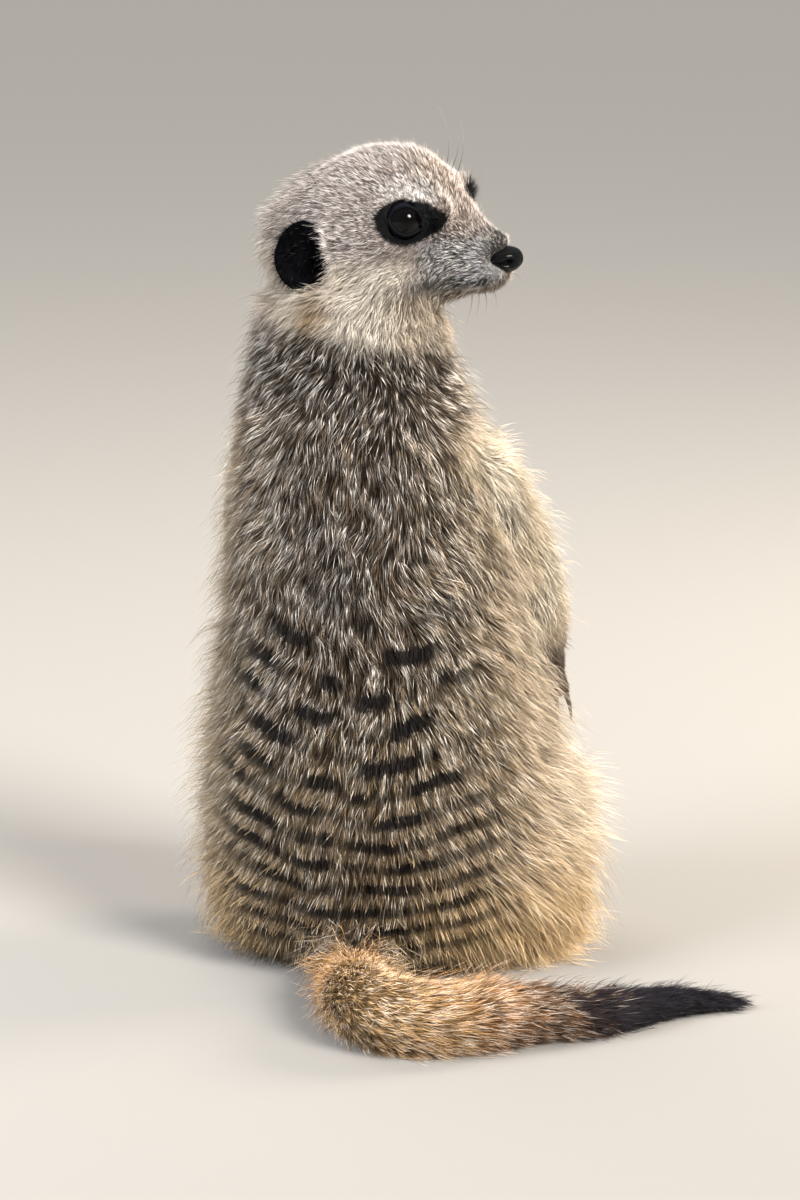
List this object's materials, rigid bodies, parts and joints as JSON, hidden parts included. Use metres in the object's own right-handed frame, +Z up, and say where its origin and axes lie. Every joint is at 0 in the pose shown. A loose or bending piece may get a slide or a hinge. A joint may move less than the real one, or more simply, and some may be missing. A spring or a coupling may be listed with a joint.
{
  "type": "meerkat figure",
  "caption": "Life-size meerkat sitting upright on its haunches, head turned to its right, forelegs hanging at the chest and tail curled round on the ground.",
  "frame": {"origin": "middle of the seat, on the floor under the trunk", "axes": "+Z up; the chest faces -Y; +X is the animal's left, and its head looks along -X"},
  "size_m": [0.1786, 0.1877, 0.2445],
  "materials": {
    "coat_grizzled": "grizzled grey-brown fur with dark rows across the lower back",
    "coat_pale": "short pale beige and cream fur",
    "coat_gold": "straw-gold fur of the tail",
    "coat_black": "short black fur",
    "eye_dark": "wet, near-black eye",
    "nose_leather": "damp black nose skin",
    "claw_horn": "dark smooth horn"
  },
  "bodies": {
    "root": {"ear_left": "coat_black", "ear_right": "coat_black", "eye_left": "eye_dark", "eye_right": "eye_dark", "fore_claw_left_1": "claw_horn", "fore_claw_left_2": "claw_horn", "fore_claw_left_3": "claw_horn", "fore_claw_left_4": "claw_horn", "fore_claw_right_1": "claw_horn", "fore_claw_right_2": "claw_horn", "fore_claw_right_3": "claw_horn", "fore_claw_right_4": "claw_horn", "forearm_left": "coat_pale", "forearm_right": "coat_pale", "forepaw_left": "coat_pale", "forepaw_right": "coat_pale", "head": "coat_pale", "hind_claw_left_1": "claw_horn", "hind_claw_left_2": "claw_horn", "hind_claw_left_3": "claw_horn", "hind_claw_left_4": "claw_horn", "hind_claw_right_1": "claw_horn", "hind_claw_right_2": "claw_horn", "hind_claw_right_3": "claw_horn", "hind_claw_right_4": "claw_horn", "hind_foot_left": "coat_pale", "hind_foot_right": "coat_pale", "neck": "coat_grizzled", "nose": "nose_leather", "tail_middle": "coat_gold", "tail_outer": "coat_gold", "tail_root": "coat_gold", "tail_tip": "coat_black", "thigh_left": "coat_grizzled", "thigh_right": "coat_grizzled", "trunk": "coat_grizzled", "upper_arm_left": "coat_pale", "upper_arm_right": "coat_pale"}
  },
  "joints": []
}
